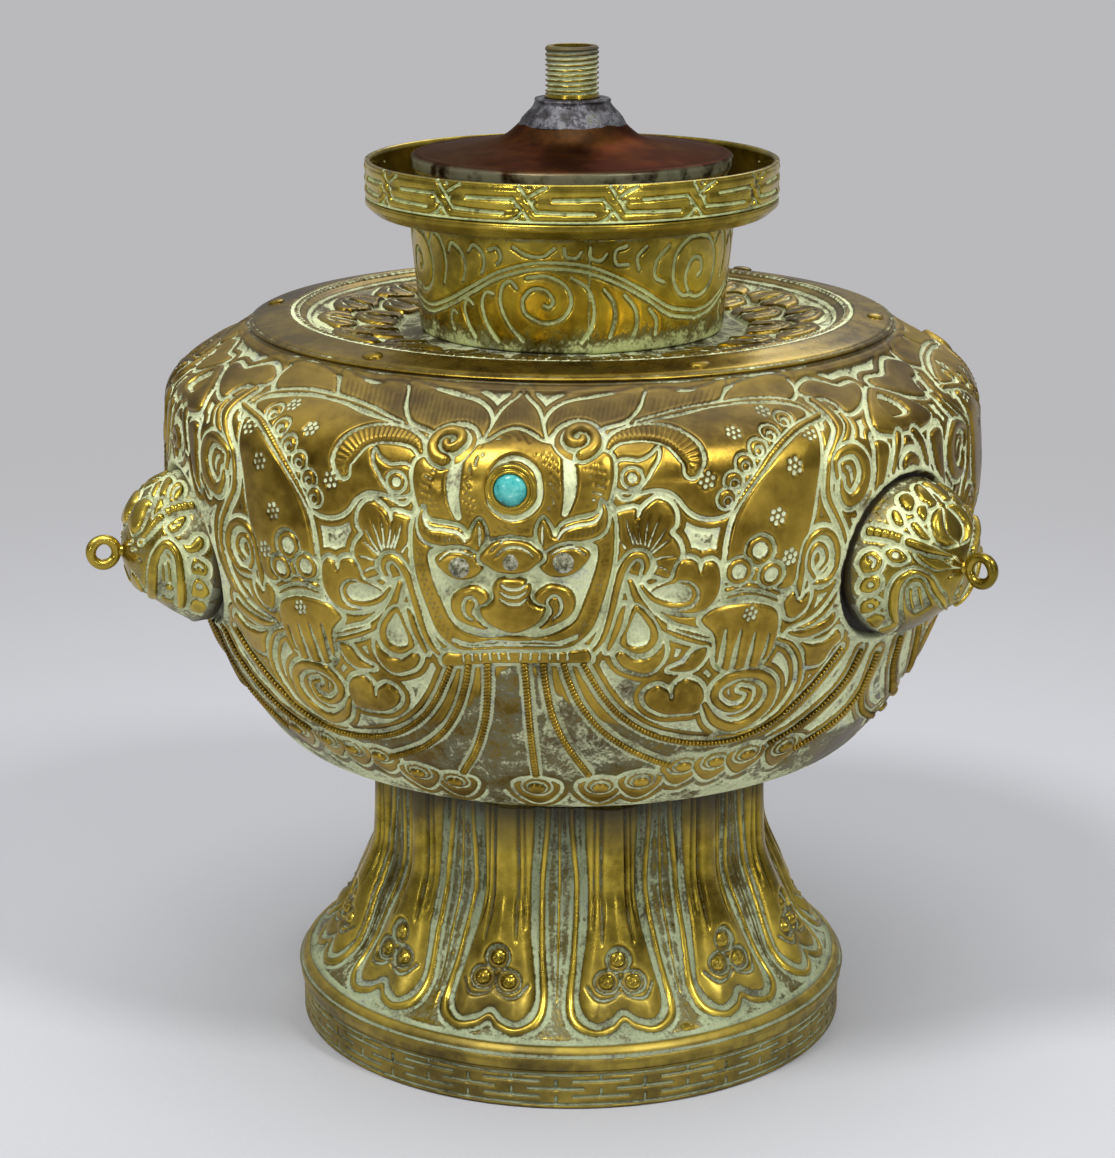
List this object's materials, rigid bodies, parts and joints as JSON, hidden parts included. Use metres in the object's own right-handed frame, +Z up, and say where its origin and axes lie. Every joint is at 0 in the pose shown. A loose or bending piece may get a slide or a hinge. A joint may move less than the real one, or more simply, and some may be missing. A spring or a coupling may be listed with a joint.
{
  "type": "footed metal vase lamp base",
  "caption": "Chased brass vase on a lotus-petal foot, with beast-head ring bosses, a lift-off neck and a copper lamp cap.",
  "frame": {"origin": "middle of the foot's underside, on the surface that the vase stands on", "axes": "+Z up through the neck and the lamp thread, -Y towards the front mask, +X to the right as seen from the front"},
  "size_m": [0.1691, 0.1781, 0.1925],
  "materials": {
    "aged_brass": "aged brass with pale green verdigris in the recesses",
    "rubbed_brass": "brass rubbed bright on its high places",
    "brown_copper": "dark brown copper, satin",
    "grey_solder": "dull grey solder",
    "thread_brass": "dull brass with verdigris in the thread",
    "turquoise": "polished cabochon",
    "pale_stone": "worn pale inlay"
  },
  "bodies": {
    "vase": {"foot_shell": "rubbed_brass", "foot_band": "rubbed_brass", "body_shell": "aged_brass", "shoulder_plate": "aged_brass", "shoulder_rivets": "aged_brass", "mask_eyes": "pale_stone", "boss_head_left": "aged_brass", "boss_loop_left": "rubbed_brass", "boss_head_right": "aged_brass", "boss_loop_right": "rubbed_brass", "boss_head_rear": "aged_brass", "boss_loop_rear": "rubbed_brass", "bezel_front": "aged_brass", "stone_front": "turquoise", "bezel_right": "aged_brass", "stone_right": "turquoise", "bezel_left": "aged_brass", "stone_left": "turquoise"},
    "neck": {"neck_cup": "rubbed_brass", "rim_tray": "rubbed_brass", "rim_band": "rubbed_brass"},
    "cap": {"lamp_cap": "brown_copper", "solder_collar": "grey_solder", "lamp_nipple": "thread_brass"}
  },
  "joints": [
    {"name": "neck_lift", "type": "slide", "parent": "vase", "child": "neck", "axis": [0, 0, 1], "range_m": [0, 0.05]},
    {"name": "cap_lift", "type": "slide", "parent": "neck", "child": "cap", "axis": [0, 0, 1], "range_m": [0, 0.05]}
  ]
}
